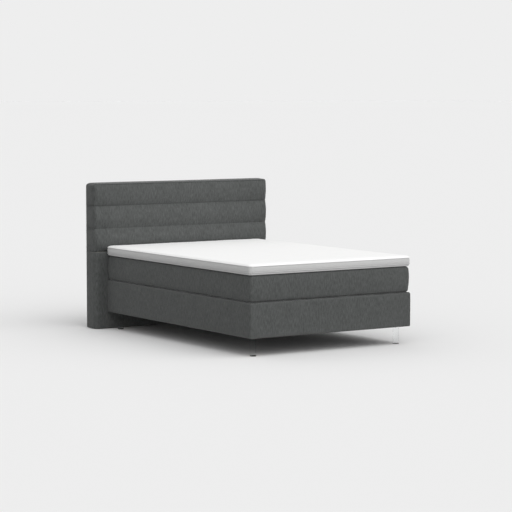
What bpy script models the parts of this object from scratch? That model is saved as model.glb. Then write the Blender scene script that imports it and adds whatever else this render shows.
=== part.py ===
"""Box spring bed: a channelled headboard, a sprung base on clear legs, a mattress and a topper.

Metres, +Z up. The bed lies along Y with its head at +Y, and left is -X.
The origin is on the floor, under the middle of the whole bed.
"""
import math

import bmesh
import bpy

# Driving sizes of the whole bed
base_width = 1.400
base_length = 2.060
fit_gap = 0.0003
cut_overrun = 0.020
merge_distance = 0.0001
straight_share = 0.999

# Legs and their glides
glide_height = 0.005
glide_radius = 0.023
glide_edge = 0.001
leg_height = 0.128
leg_radius = 0.022
leg_edge = 0.0015
leg_inset_x = 0.073
leg_inset_y = 0.082
leg_bolt_radius = 0.004
leg_bolt_in_leg = 0.014
leg_bolt_in_block = 0.036

# Sprung base
base_height = 0.252
side_cover_wall = 0.010
side_cover_corner = 0.0055
side_cover_edge = 0.006
board_thickness = 0.022
dust_cloth = 0.0015
beam_width = 0.045
beam_height = 0.050
slat_count = 5
slat_width = 0.080
slat_thickness = 0.020
block_width = 0.100
base_foam = 0.030
top_cloth = 0.003
spring_margin = 0.010
pocket_pitch = 0.080

# Mattress
mattress_height = 0.1955
mattress_inset = 0.0045
mattress_foot_corner = 0.014
mattress_head_corner = 0.006
mattress_top_edge = 0.050
mattress_bottom_edge = 0.014
mattress_bulge = 0.004
mattress_wall = 0.022
mattress_core_corner = 0.020
mattress_cloth = 0.003
mattress_lower_foam = 0.025
mattress_core_height = 0.118
mattress_edge_foam = 0.060
head_clearance = 0.004

# Topper
topper_height = 0.0752
topper_inset = 0.0008
topper_foot_corner = 0.024
topper_head_corner = 0.010
topper_top_edge = 0.016
topper_bottom_edge = 0.012
topper_crown = 0.003
topper_wall = 0.015
topper_core_corner = 0.020
topper_cloth = 0.002
piping_radius = 0.003
upper_piping_drop = 0.017
lower_piping_rise = 0.013

# Headboard
headboard_height = 1.140
headboard_depth = 0.141
headboard_overhang = 0.105
headboard_corner = 0.030
headboard_top_edge = 0.026
front_wall = 0.024
side_wall = 0.020
top_wall = 0.020
lower_seam_height = 0.6165
channel_recess = 0.012
channel_side_share = 0.8
ledge_edge = 0.005
headboard_foam = 0.030
panel_thickness = 0.012
post_width = 0.045
rail_height = 0.090
bolt_height = 0.250
back_cloth = 0.002
back_recess = 0.003
headboard_glide_height = 0.006
headboard_glide_radius = 0.015
headboard_bolt_radius = 0.005
headboard_bolt_head_radius = 0.012
headboard_bolt_head = 0.006
headboard_bolt_reach = 0.035
headboard_bolt_place_share = 0.62

# Shares of a height, and how far round each soft edge is cut
channel_seam_shares = (0.0, 0.338, 0.676)
channel_level_shares = (-0.92, -0.78, -0.58, -0.3, 0.0, 0.3, 0.58, 0.78, 0.92)
bulge_level_shares = (-0.6, -0.3, 0.0, 0.3, 0.6)
crown_cut_shares = (-0.9, -0.65, -0.3, 0.0, 0.3, 0.65, 0.9)
channel_fall_power = 2.4
scallop_turns = (math.radians(-40), 0, math.radians(40))
corner_steps = 4
turned_steps = 20
bore_sides = 12
smooth_limit = math.radians(40)

# Places along the bed and up it
head_y = (base_length + headboard_depth) / 2
headboard_front = head_y - headboard_depth
foot_y = -head_y
base_bottom = glide_height + leg_height
base_top = base_bottom + base_height
mattress_bottom = base_top + fit_gap
mattress_top = mattress_bottom + mattress_height
topper_bottom = mattress_top + fit_gap
topper_top = topper_bottom + topper_height
base_x = (-base_width / 2, base_width / 2)
base_y = (foot_y, headboard_front - fit_gap)


def clear_scene():
    """Remove whatever the scene holds."""
    for obj in list(bpy.data.objects):
        bpy.data.objects.remove(obj, do_unlink=True)


def new_collection(name):
    """Make a collection in the scene."""
    collection = bpy.data.collections.new(name)
    bpy.context.scene.collection.children.link(collection)
    return collection


def finish(name, colour, roughness, metallic=0.0, alpha=1.0):
    """Make a plain material from a linear colour."""
    material = bpy.data.materials.new(name)
    material.use_nodes = True
    shader = material.node_tree.nodes["Principled BSDF"]
    shader.inputs["Base Color"].default_value = (*colour, 1.0)
    shader.inputs["Roughness"].default_value = roughness
    shader.inputs["Metallic"].default_value = metallic
    shader.inputs["Alpha"].default_value = alpha
    return material


clear_scene()
bed = new_collection("box_spring_bed")
cutters = new_collection("cutters")

grey_fabric = finish("grey_fabric", (0.095, 0.100, 0.098), 0.95)
white_knit = finish("white_knit", (0.80, 0.80, 0.79), 0.90)
black_cloth = finish("black_cloth", (0.015, 0.015, 0.016), 0.95)
clear_acrylic = finish("clear_acrylic", (0.95, 0.97, 0.97), 0.05, alpha=0.2)
black_plastic = finish("black_plastic", (0.012, 0.012, 0.012), 0.45)
pine = finish("pine", (0.62, 0.43, 0.25), 0.70)
plywood = finish("plywood", (0.52, 0.36, 0.21), 0.75)
foam = finish("foam", (0.78, 0.74, 0.60), 0.95)
spring_cloth = finish("spring_cloth", (0.74, 0.75, 0.76), 0.95)
zinc_steel = finish("zinc_steel", (0.55, 0.55, 0.53), 0.35, metallic=1.0)


def group(name, place):
    """Make an empty that carries one part of the bed."""
    empty = bpy.data.objects.new(name, None)
    empty.location = place
    bed.objects.link(empty)
    return empty


headboard = group("headboard", (0, head_y, 0))
base = group("base", (0, 0, 0))
mattress = group("mattress", (0, (base_y[0] + base_y[1]) / 2, mattress_bottom))
topper = group("topper", (0, (base_y[0] + base_y[1]) / 2, topper_bottom))


def seat(obj, carrier, place, material):
    """Put an object into the bed, carried by an empty, at a place in the world."""
    bed.objects.link(obj)
    obj.parent = carrier
    obj.location = [there - here for there, here in zip(place, carrier.location)]
    obj.data.materials.append(material)
    return obj


def middle(x, y, z):
    """Give the centre of a box that is stated as three ranges."""
    return [(low + high) / 2 for low, high in (x, y, z)]


def inset(span, amount):
    """Draw a range in at both ends."""
    return (span[0] + amount, span[1] - amount)


def cube_of(x, y, z):
    """Make a box centred on the origin, with the size of three ranges."""
    shape = bmesh.new()
    bmesh.ops.create_cube(shape, size=1)
    size = [high - low for low, high in (x, y, z)]
    bmesh.ops.scale(shape, vec=size, verts=shape.verts)
    return shape


def to_mesh(shape, name, smooth=False):
    """Turn a bmesh into mesh data."""
    data = bpy.data.meshes.new(name)
    shape.to_mesh(data)
    shape.free()
    if smooth:
        data.shade_smooth()
        data.set_sharp_from_angle(angle=smooth_limit)
    return data


def block(name, x, y, z, material, carrier):
    """Make a plain box between three ranges."""
    data = to_mesh(cube_of(x, y, z), name)
    return seat(bpy.data.objects.new(name, data), carrier, middle(x, y, z), material)


def cutter(name, x, y, z, corner=0.0):
    """Make a box that other pieces are cut by, its upright edges rounded where asked."""
    shape = cube_of(x, y, z)
    if corner:
        round_edges(shape, upright_edges(shape), corner)
    return hide_cutter(name, shape, middle(x, y, z))


def hide_cutter(name, shape, place):
    """Put a cutting shape in the cutters' collection."""
    obj = bpy.data.objects.new(name, to_mesh(shape, name))
    obj.location = place
    obj.hide_render = True
    obj.display_type = 'WIRE'
    cutters.objects.link(obj)
    return obj


def cut(obj, tool):
    """Cut one object by another."""
    modifier = obj.modifiers.new(tool.name, 'BOOLEAN')
    modifier.operation = 'DIFFERENCE'
    modifier.solver = 'EXACT'
    modifier.object = tool


def upright_edges(shape, side=0):
    """Give the edges that stand up: all of them, or those on the -Y side (-1) or the +Y side (1)."""
    chosen = []
    for edge in shape.edges:
        run = edge.verts[1].co - edge.verts[0].co
        if abs(run.z) > straight_share * run.length and edge.verts[0].co.y * side >= 0:
            chosen.append(edge)
    return chosen


def level_edges(shape, height):
    """Give the edges that lie at one height."""
    return [edge for edge in shape.edges
            if all(abs(vert.co.z - height) < merge_distance for vert in edge.verts)]


def round_edges(shape, edges, radius):
    """Round some edges."""
    bmesh.ops.bevel(shape, geom=edges, offset=radius, offset_type='OFFSET', segments=corner_steps,
                    profile=0.5, affect='EDGES', material=-1)


def slice_at(shape, place, normal):
    """Add a loop of edges where a plane meets the shape."""
    bmesh.ops.bisect_plane(shape, geom=shape.verts[:] + shape.edges[:] + shape.faces[:],
                           plane_co=place, plane_no=normal, dist=merge_distance)


def roll_depth(past_start, edge):
    """Give how far a rolled edge has turned in, from the height past the start of its roll."""
    past_start = min(max(past_start, 0.0), edge)
    return edge - math.sqrt(edge ** 2 - past_start ** 2)


def shift_in(shape, half, corner, depth_at):
    """Move the sides in by a depth that changes with height, and the rounded corners with them."""
    for vert in shape.verts:
        depth = depth_at(vert.co.z)
        for axis in (0, 1):
            if abs(vert.co[axis]) > half[axis] - corner - merge_distance:
                vert.co[axis] -= math.copysign(depth, vert.co[axis])


def soft_block(name, x, y, z, corners, edges, material, carrier, bulge=0.0, crown=0.0):
    """Make a cushion whose top and bottom edges roll in; the corners are at its foot and its head.

    Its sides may bulge between the edges, and its top may rise to a crown.
    """
    half = [(high - low) / 2 for low, high in (x, y, z)]
    foot_corner, head_corner = corners
    top_edge, bottom_edge = edges
    shape = cube_of(x, y, z)
    round_edges(shape, upright_edges(shape, -1), foot_corner)
    round_edges(shape, upright_edges(shape, 1), head_corner)
    for step in range(corner_steps):
        rest_share = 1 - math.sin(step / corner_steps * math.pi / 2)
        slice_at(shape, (0, 0, half[2] - top_edge * rest_share), (0, 0, 1))
        slice_at(shape, (0, 0, bottom_edge * rest_share - half[2]), (0, 0, 1))
    if bulge:
        for share in bulge_level_shares:
            slice_at(shape, (0, 0, half[2] * share), (0, 0, 1))
    shift_in(shape, half, max(corners),
             lambda height: (roll_depth(height + top_edge - half[2], top_edge)
                             + roll_depth(bottom_edge - half[2] - height, bottom_edge)
                             + bulge * (height / half[2]) ** 2))
    if crown:
        for share in crown_cut_shares:
            slice_at(shape, (half[0] * share, 0, 0), (1, 0, 0))
            slice_at(shape, (0, half[1] * share, 0), (0, 1, 0))
        for vert in shape.verts:
            rise = (1 - (vert.co.x / half[0]) ** 2) * (1 - (vert.co.y / half[1]) ** 2)
            if vert.co.z > 0:
                vert.co.z -= crown * (1 - rise) * vert.co.z / half[2]
    data = to_mesh(shape, name, smooth=True)
    return seat(bpy.data.objects.new(name, data), carrier, middle(x, y, z), material)


def cylinder_between(name, place, radius, length, turn_x=0.0):
    """Make a round cutter that runs up from a place, or along +Y when turned."""
    shape = bmesh.new()
    bmesh.ops.create_cone(shape, cap_ends=True, segments=bore_sides, radius1=radius, radius2=radius,
                          depth=length)
    bmesh.ops.translate(shape, vec=(0, 0, length / 2), verts=shape.verts)
    obj = hide_cutter(name, shape, place)
    obj.rotation_euler = (turn_x, 0, 0)
    return obj


def turned(name, profile, place, material, carrier, sides=turned_steps):
    """Turn a profile of radius and height about Z; it runs down the outer side."""
    shape = bmesh.new()
    points = [shape.verts.new((radius, 0, height)) for radius, height in profile]
    for first, second in zip(points, points[1:]):
        shape.edges.new((first, second))
    obj = bpy.data.objects.new(name, to_mesh(shape, name))
    screw = obj.modifiers.new("turn", 'SCREW')
    screw.steps = sides
    screw.render_steps = sides
    screw.use_merge_vertices = True
    screw.merge_threshold = merge_distance
    screw.use_smooth_shade = True
    return seat(obj, carrier, place, material)


def rod_profile(radius, length, head_radius=0.0, head=0.0):
    """Give the profile of a rod from its tip down to its head."""
    profile = [(0, length), (radius, length)]
    if head:
        profile += [(radius, head), (head_radius, head), (head_radius, 0)]
    else:
        profile += [(radius, 0)]
    return profile + [(0, 0)]


def disc_profile(radius, height, edge):
    """Give the profile of a disc with eased edges."""
    return [(0, height), (radius - edge, height), (radius, height - edge), (radius, edge),
            (radius - edge, 0), (0, 0)]


def pocket_outline(width, length):
    """Give the scalloped outline of a block of pocket springs, one bulge for each pocket."""
    across = max(1, round(width / pocket_pitch))
    along = max(1, round(length / pocket_pitch))
    points = []
    sides = ((across, width, length, 0), (along, length, width, 1),
             (across, width, length, 2), (along, length, width, 3))
    for count, run, depth, quarter in sides:
        step = run / count
        quarter_turn = quarter * math.pi / 2
        for pocket in range(count):
            start = (pocket + 0.5) * step - run / 2
            for turn in scallop_turns:
                u = start + math.sin(turn) * step / 2
                v = -depth / 2 + (1 - math.cos(turn)) * step / 2
                points.append((u * math.cos(quarter_turn) - v * math.sin(quarter_turn),
                               u * math.sin(quarter_turn) + v * math.cos(quarter_turn)))
    return points


def pocket_springs(name, x, y, z, carrier):
    """Make a block of pocket springs from its outline."""
    curve = bpy.data.curves.new(name, 'CURVE')
    curve.dimensions = '2D'
    curve.fill_mode = 'BOTH'
    curve.extrude = (z[1] - z[0]) / 2
    points = pocket_outline(x[1] - x[0], y[1] - y[0])
    spline = curve.splines.new('POLY')
    spline.points.add(len(points) - 1)
    for point, (across, along) in zip(spline.points, points):
        point.co = (across, along, 0, 1)
    spline.use_cyclic_u = True
    return seat(bpy.data.objects.new(name, curve), carrier, middle(x, y, z), spring_cloth)


def piping(name, x, y, corners, height, carrier):
    """Run a closed cord round a rectangle whose corners are rounded at its foot and its head."""
    curve = bpy.data.curves.new(name, 'CURVE')
    curve.dimensions = '3D'
    curve.bevel_depth = piping_radius
    curve.bevel_resolution = 1
    foot_corner, head_corner = corners
    half_x = (x[1] - x[0]) / 2
    half_y = (y[1] - y[0]) / 2
    turns = ((1, 1, head_corner), (-1, 1, head_corner), (-1, -1, foot_corner), (1, -1, foot_corner))
    points = []
    for quarter, (side_x, side_y, corner) in enumerate(turns):
        for step in range(corner_steps + 1):
            turn = (quarter + step / corner_steps) * math.pi / 2
            points.append((side_x * (half_x - corner) + corner * math.cos(turn),
                           side_y * (half_y - corner) + corner * math.sin(turn)))
    spline = curve.splines.new('POLY')
    spline.points.add(len(points) - 1)
    for point, (across, along) in zip(spline.points, points):
        point.co = (across, along, 0, 1)
    spline.use_cyclic_u = True
    return seat(bpy.data.objects.new(name, curve), carrier, middle(x, y, (height, height)), white_knit)


def mirrored(x):
    """Give a range on the right and its mirror on the left, by name."""
    return (("left", (-x[1], -x[0])), ("right", x))


# Sprung base

cover_inner_x = inset(base_x, side_cover_wall)
cover_inner_y = inset(base_y, side_cover_wall)
fill_x = inset(cover_inner_x, fit_gap)
fill_y = inset(cover_inner_y, fit_gap)
board_x = (fill_x[1] - board_thickness, fill_x[1])
between_boards_x = (-board_x[0] + fit_gap, board_x[0] - fit_gap)
between_boards_y = inset(fill_y, board_thickness + fit_gap)
dust_z = (base_bottom + fit_gap, base_bottom + fit_gap + dust_cloth)
base_cloth_z = (base_top - top_cloth, base_top)
base_foam_z = (base_cloth_z[0] - fit_gap - base_foam, base_cloth_z[0] - fit_gap)
board_z = (dust_z[1] + fit_gap, base_foam_z[0] - fit_gap)
beam_z = (board_z[0], board_z[0] + beam_height)
slat_z = (beam_z[1] + fit_gap, beam_z[1] + fit_gap + slat_thickness)
leg_x = base_x[1] - leg_inset_x
leg_y = (base_y[0] + leg_inset_y, base_y[1] - leg_inset_y)


def make_base_frame():
    """Make the boards, the beam, the slats and the corner blocks."""
    for side, x in mirrored(board_x):
        block("base_board_" + side, x, fill_y, board_z, pine, base)
    ends = (("foot", (fill_y[0], fill_y[0] + board_thickness)),
            ("head", (fill_y[1] - board_thickness, fill_y[1])))
    boards = {}
    for end, y in ends:
        boards[end] = block("base_board_" + end, between_boards_x, y, board_z, pine, base)
    beam_x = (-beam_width / 2, beam_width / 2)
    block("base_beam", beam_x, between_boards_y, beam_z, pine, base)
    pitch = (between_boards_y[1] - between_boards_y[0]) / slat_count
    for number in range(slat_count):
        centre = between_boards_y[0] + (number + 0.5) * pitch
        y = (centre - slat_width / 2, centre + slat_width / 2)
        block("base_slat_" + str(number + 1), between_boards_x, y, slat_z, pine, base)
    return boards["head"]


def make_base_filling():
    """Make the spring block and the foam over it."""
    x = inset(between_boards_x, spring_margin)
    y = inset(between_boards_y, spring_margin)
    pocket_springs("base_springs", x, y, (slat_z[1] + fit_gap, board_z[1]), base)
    block("base_foam", fill_x, fill_y, base_foam_z, foam, base)
    block("base_top_cloth", fill_x, fill_y, base_cloth_z, black_cloth, base)


def make_base_cover():
    """Make the padded fabric round the sides of the base."""
    z = (base_bottom, base_top)
    cover = soft_block("base_side_cover", base_x, base_y, z, (side_cover_corner, side_cover_corner),
                       (side_cover_edge, side_cover_edge), grey_fabric, base)
    hollow_z = (z[0] - cut_overrun, z[1] + cut_overrun)
    cut(cover, cutter("base_hollow", cover_inner_x, cover_inner_y, hollow_z))
    return cover


def make_legs():
    """Make the corner blocks, the dust cover, and the legs with their bolts and glides."""
    dust_cover = block("base_dust_cover", fill_x, fill_y, dust_z, black_cloth, base)
    blocks_y = (("foot", (between_boards_y[0], between_boards_y[0] + block_width), leg_y[0]),
                ("head", (between_boards_y[1] - block_width, between_boards_y[1]), leg_y[1]))
    bolt_bottom = base_bottom - leg_bolt_in_leg
    bolt_length = board_z[0] + leg_bolt_in_block - bolt_bottom
    for end, y, place_y in blocks_y:
        for side, x in mirrored((between_boards_x[1] - block_width, between_boards_x[1])):
            corner = end + "_" + side
            place_x = math.copysign(leg_x, x[0])
            corner_block = block("base_block_" + corner, x, y, beam_z, pine, base)
            bore = cylinder_between("leg_bore_" + corner, (place_x, place_y, bolt_bottom - fit_gap),
                                    leg_bolt_radius + fit_gap, bolt_length + 2 * fit_gap)
            leg_bottom = glide_height + fit_gap
            leg = turned("leg_" + corner, disc_profile(leg_radius, base_bottom - leg_bottom, leg_edge),
                         (place_x, place_y, leg_bottom), clear_acrylic, base)
            cut(leg, bore)
            cut(corner_block, bore)
            cut(dust_cover, bore)
            turned("leg_bolt_" + corner, rod_profile(leg_bolt_radius, bolt_length),
                   (place_x, place_y, bolt_bottom), zinc_steel, base, bore_sides)
            turned("leg_glide_" + corner, disc_profile(glide_radius, glide_height, glide_edge),
                   (place_x, place_y, 0), black_plastic, base)


# Mattress

mattress_x = inset(base_x, mattress_inset)
mattress_y = (base_y[0] + mattress_inset, headboard_front - head_clearance)


def make_mattress():
    """Make the cover, its base cloth, the foams and the spring block."""
    z = (mattress_bottom, mattress_top)
    corners = (mattress_foot_corner, mattress_head_corner)
    cover = soft_block("mattress_cover", mattress_x, mattress_y, z, corners,
                       (mattress_top_edge, mattress_bottom_edge), grey_fabric, mattress,
                       bulge=mattress_bulge)
    hollow_x = inset(mattress_x, mattress_wall)
    hollow_y = inset(mattress_y, mattress_wall)
    hollow_z = (z[0] - cut_overrun, z[1] - mattress_wall)
    cut(cover, cutter("mattress_hollow", hollow_x, hollow_y, hollow_z, mattress_core_corner))
    core_x = inset(hollow_x, fit_gap)
    core_y = inset(hollow_y, fit_gap)
    cloth_z = (z[0], z[0] + mattress_cloth)
    lower_z = (cloth_z[1] + fit_gap, cloth_z[1] + fit_gap + mattress_lower_foam)
    spring_z = (lower_z[1] + fit_gap, lower_z[1] + fit_gap + mattress_core_height)
    upper_z = (spring_z[1] + fit_gap, hollow_z[1] - fit_gap)
    layers = (("mattress_base_cloth", cloth_z, grey_fabric), ("mattress_lower_foam", lower_z, foam),
              ("mattress_edge_foam", spring_z, foam), ("mattress_upper_foam", upper_z, foam))
    made = {}
    for name, layer_z, material in layers:
        made[name] = core_layer(name, core_x, core_y, layer_z, mattress_core_corner, material, mattress)
    hole_x = inset(core_x, mattress_edge_foam)
    hole_y = inset(core_y, mattress_edge_foam)
    hole_z = (spring_z[0] - cut_overrun, spring_z[1] + cut_overrun)
    cut(made["mattress_edge_foam"], cutter("mattress_spring_space", hole_x, hole_y, hole_z))
    pocket_springs("mattress_springs", inset(hole_x, fit_gap), inset(hole_y, fit_gap), spring_z, mattress)


def core_layer(name, x, y, z, corner, material, carrier):
    """Make a flat layer whose upright edges are rounded."""
    shape = cube_of(x, y, z)
    round_edges(shape, upright_edges(shape), corner)
    data = to_mesh(shape, name, smooth=True)
    return seat(bpy.data.objects.new(name, data), carrier, middle(x, y, z), material)


# Topper

piping_reach = fit_gap + 2 * piping_radius
topper_x = inset(base_x, topper_inset)
topper_y = (base_y[0] + piping_reach, headboard_front - head_clearance - piping_reach)


def make_topper():
    """Make the cover, its base cloth, the foam core and the two pipings."""
    z = (topper_bottom, topper_top)
    corners = (topper_foot_corner, topper_head_corner)
    cover = soft_block("topper_cover", topper_x, topper_y, z, corners,
                       (topper_top_edge, topper_bottom_edge), white_knit, topper, crown=topper_crown)
    hollow_x = inset(topper_x, topper_wall)
    hollow_y = inset(topper_y, topper_wall)
    hollow_z = (z[0] - cut_overrun, z[1] - topper_wall - topper_crown)
    cut(cover, cutter("topper_hollow", hollow_x, hollow_y, hollow_z, topper_core_corner))
    core_x = inset(hollow_x, fit_gap)
    core_y = inset(hollow_y, fit_gap)
    cloth_z = (z[0], z[0] + topper_cloth)
    core_z = (cloth_z[1] + fit_gap, hollow_z[1] - fit_gap)
    core_layer("topper_base_cloth", core_x, core_y, cloth_z, topper_core_corner, white_knit, topper)
    core_layer("topper_foam", core_x, core_y, core_z, topper_core_corner, foam, topper)
    reach = piping_reach - piping_radius
    path_x = inset(topper_x, -reach)
    path_y = inset(topper_y, -reach)
    path_corners = [corner + reach for corner in corners]
    piping("topper_upper_piping", path_x, path_y, path_corners, topper_top - upper_piping_drop, topper)
    piping("topper_lower_piping", path_x, path_y, path_corners, topper_bottom + lower_piping_rise, topper)


# Headboard

headboard_x = inset(base_x, -headboard_overhang)
headboard_y = (headboard_front, head_y)
hollow_front = headboard_front + front_wall
hollow_x = inset(headboard_x, side_wall)
hollow_top = headboard_height - top_wall
frame_x = inset(hollow_x, fit_gap)
frame_z = (headboard_glide_height + fit_gap, hollow_top - fit_gap)
headboard_foam_y = (hollow_front + fit_gap, hollow_front + fit_gap + headboard_foam)
panel_y = (headboard_foam_y[1] + fit_gap, headboard_foam_y[1] + fit_gap + panel_thickness)
back_cloth_y = (head_y - back_recess - back_cloth, head_y - back_recess)
frame_y = (panel_y[1] + fit_gap, back_cloth_y[0] - fit_gap)
bolt_x = base_x[1] * headboard_bolt_place_share


def channel_depth(height, half_height, closed_top):
    """Give how far a channel is drawn in at a height, least at its middle, most at its seams."""
    if closed_top and height > 0:
        return 0.0
    return channel_recess * (abs(height) / half_height) ** channel_fall_power


def draw_in(shape, half, depth_at):
    """Draw a channel in by a depth that changes with height, at the sides less towards the back."""
    core_x = half[0] - headboard_corner
    core_y = headboard_corner - half[1]
    for vert in shape.verts:
        past_x = vert.co.x - min(max(vert.co.x, -core_x), core_x)
        past_y = min(vert.co.y - core_y, 0.0)
        share = depth_at(vert.co.z) / headboard_corner
        fade = (half[1] - vert.co.y) / (2 * half[1])
        vert.co.x -= past_x * share * channel_side_share * fade
        vert.co.y -= past_y * share


def channel(name, z, closed_top, hollow):
    """Make one padded channel, wrapped round the front and both sides of the frame."""
    half = [(high - low) / 2 for low, high in (headboard_x, headboard_y, z)]
    shape = cube_of(headboard_x, headboard_y, z)
    round_edges(shape, upright_edges(shape, -1), headboard_corner)
    if closed_top:
        round_edges(shape, level_edges(shape, half[2]), headboard_top_edge)
    for share in channel_level_shares:
        if not closed_top or share <= 0:
            slice_at(shape, (0, 0, half[2] * share), (0, 0, 1))
    draw_in(shape, half, lambda height: channel_depth(height, half[2], closed_top))
    data = to_mesh(shape, name, smooth=True)
    place = middle(headboard_x, headboard_y, z)
    pad = seat(bpy.data.objects.new(name, data), headboard, place, grey_fabric)
    cut(pad, hollow)


def make_headboard_covers():
    """Make the three channels and the plain lower cover round one hollow."""
    hollow_y = (hollow_front, head_y + cut_overrun)
    hollow_z = (-cut_overrun, hollow_top)
    hollow = cutter("headboard_hollow", hollow_x, hollow_y, hollow_z)
    rise = headboard_height - lower_seam_height
    seams = [lower_seam_height + share * rise for share in channel_seam_shares]
    tops = seams[1:] + [headboard_height + fit_gap]
    for name, low, high in zip(("lower", "middle", "top"), seams, tops):
        channel("headboard_channel_" + name, (low, high - fit_gap), name == "top", hollow)
    z = (headboard_glide_height, lower_seam_height - fit_gap)
    half_height = (z[1] - z[0]) / 2
    shape = cube_of(headboard_x, headboard_y, z)
    round_edges(shape, upright_edges(shape, -1), headboard_corner)
    round_edges(shape, level_edges(shape, half_height), ledge_edge)
    data = to_mesh(shape, "headboard_lower_cover", smooth=True)
    cover = seat(bpy.data.objects.new("headboard_lower_cover", data), headboard,
                 middle(headboard_x, headboard_y, z), grey_fabric)
    cut(cover, hollow)
    return cover


def make_headboard_frame():
    """Make the foams, the panel, the posts, the rails, the back cloth and the glides."""
    lower_foam_z = (frame_z[0], lower_seam_height - fit_gap)
    upper_foam_z = (lower_seam_height, frame_z[1])
    lower_foam = block("headboard_lower_foam", frame_x, headboard_foam_y, lower_foam_z, foam, headboard)
    block("headboard_upper_foam", frame_x, headboard_foam_y, upper_foam_z, foam, headboard)
    panel = block("headboard_panel", frame_x, panel_y, frame_z, plywood, headboard)
    post_x = (frame_x[1] - post_width, frame_x[1])
    for side, x in mirrored(post_x):
        block("headboard_post_" + side, x, frame_y, frame_z, pine, headboard)
        centre = ((x[0] + x[1]) / 2, (frame_y[0] + frame_y[1]) / 2, 0)
        turned("headboard_glide_" + side,
               disc_profile(headboard_glide_radius, headboard_glide_height, glide_edge),
               centre, black_plastic, headboard)
    rail_x = (fit_gap - post_x[0], post_x[0] - fit_gap)
    rail_heights = (("bottom", (frame_z[0], frame_z[0] + rail_height)),
                    ("bolt", (bolt_height - rail_height / 2, bolt_height + rail_height / 2)),
                    ("top", (frame_z[1] - rail_height, frame_z[1])))
    rails = {}
    for name, z in rail_heights:
        rails[name] = block("headboard_rail_" + name, rail_x, frame_y, z, pine, headboard)
    block("headboard_back_cloth", frame_x, back_cloth_y, frame_z, black_cloth, headboard)
    return lower_foam, panel, rails["bolt"]


def make_headboard_bolts(pierced):
    """Make the two bolts that hold the headboard to the base, and their bores."""
    start = between_boards_y[1] + fit_gap
    seat_y = start - fit_gap - headboard_bolt_head
    length = frame_y[0] + headboard_bolt_reach - seat_y
    profile = rod_profile(headboard_bolt_radius, length, headboard_bolt_head_radius, headboard_bolt_head)
    for side, x in (("left", -bolt_x), ("right", bolt_x)):
        bolt = turned("headboard_bolt_" + side, profile, (x, seat_y, bolt_height), zinc_steel, headboard,
                      bore_sides)
        bolt.rotation_euler = (math.radians(-90), 0, 0)
        bore_start = start - cut_overrun
        bore_length = seat_y + length + fit_gap - bore_start
        bore = cylinder_between("headboard_bore_" + side, (x, bore_start, bolt_height),
                                headboard_bolt_radius + fit_gap, bore_length, math.radians(-90))
        for obj in pierced:
            cut(obj, bore)


head_board = make_base_frame()
make_base_filling()
side_cover = make_base_cover()
make_legs()
make_mattress()
make_topper()
lower_cover = make_headboard_covers()
headboard_layers = make_headboard_frame()
make_headboard_bolts((head_board, side_cover, lower_cover, *headboard_layers))
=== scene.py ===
import math

import bmesh
import bpy
from mathutils import Matrix, Vector, noise


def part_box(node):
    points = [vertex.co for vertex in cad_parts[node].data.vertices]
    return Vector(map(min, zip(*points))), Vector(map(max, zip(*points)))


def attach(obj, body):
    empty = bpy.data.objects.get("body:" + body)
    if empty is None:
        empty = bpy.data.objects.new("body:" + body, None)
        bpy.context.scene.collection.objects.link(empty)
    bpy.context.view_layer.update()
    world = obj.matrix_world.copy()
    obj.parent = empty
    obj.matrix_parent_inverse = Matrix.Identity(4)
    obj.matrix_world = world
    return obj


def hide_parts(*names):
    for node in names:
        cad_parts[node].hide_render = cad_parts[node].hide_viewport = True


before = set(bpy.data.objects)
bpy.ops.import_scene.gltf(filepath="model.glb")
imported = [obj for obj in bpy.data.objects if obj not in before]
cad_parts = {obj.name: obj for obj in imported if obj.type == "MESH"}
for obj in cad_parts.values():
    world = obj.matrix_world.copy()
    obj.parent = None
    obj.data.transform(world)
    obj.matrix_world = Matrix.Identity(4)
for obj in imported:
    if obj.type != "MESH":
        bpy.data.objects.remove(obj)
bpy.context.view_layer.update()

# Metres, +Z up, the head at +Y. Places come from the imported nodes, and these are the sizes of the soft parts.
# Corners are given at the foot and at the head, edges at the top and at the bottom.

# The steps that cloth is shaped in.
cloth_cell = 0.016
topper_cell = 0.024
lining_cell = 0.03
round_steps = 8
sharp_angle = math.radians(50)

# Headboard: its rounding, and how far its sections draw in at their seams, at the sides and at the top edge.
headboard_corner = 0.030
headboard_top_edge = 0.026
channel_recess = 0.0195
channel_side_share = 0.2
channel_top_share = 0.6
crease_depth = 0.002
side_crease_depth = 0.005
crease_power = 14
crease_fade = 2.5
seam_drop = 0.0085
ledge_drop = 0.012
channel_wall = 0.0225
seam_reach = 0.00012
lower_cover_wall = 0.006
ledge_edge = 0.005

# Base and mattress
base_corners = (0.0055, 0.0055)
base_edges = (0.016, 0.007)
base_wall = 0.003
mattress_corners = (0.014, 0.006)
mattress_edges = (0.024, 0.016)
mattress_bulge = 0.008
mattress_wall = 0.006
mattress_settle = 0.0015
quilt_counts = (6, 9)
quilt_steps = 12
quilt_depth = 0.006
stitch_share = 0.02

# Topper, with its pipings and its ribbed border
topper_corners = (0.024, 0.010)
topper_edges = (0.016, 0.006)
topper_crown = 0.003
topper_wall = 0.004
strip_drop = 0.0045
turned_under = 0.008
piping_radius = 0.003
path_steps = 24
rib_pitch = 0.010
rib_proud = 0.0018
rib_fullness = 0.8
rib_end_power = 6
rib_faces = (6, 8)
rib_join = 0.0002
border_bulge = 0.003
border_wall = 0.002

# The grey fabric's threads
thread_pitch = 0.0016

# Flat cloths, their hems and their staples
lining_thickness = 0.0008
lining_inset = 2.5
lining_wrinkle = 0.6
wrinkle_rate = 9
hem_width = 0.014
hem_fold = 0.002
staple_pitch = 0.055
staple_crown = (0.011, 0.0012, 0.0007)

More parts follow.
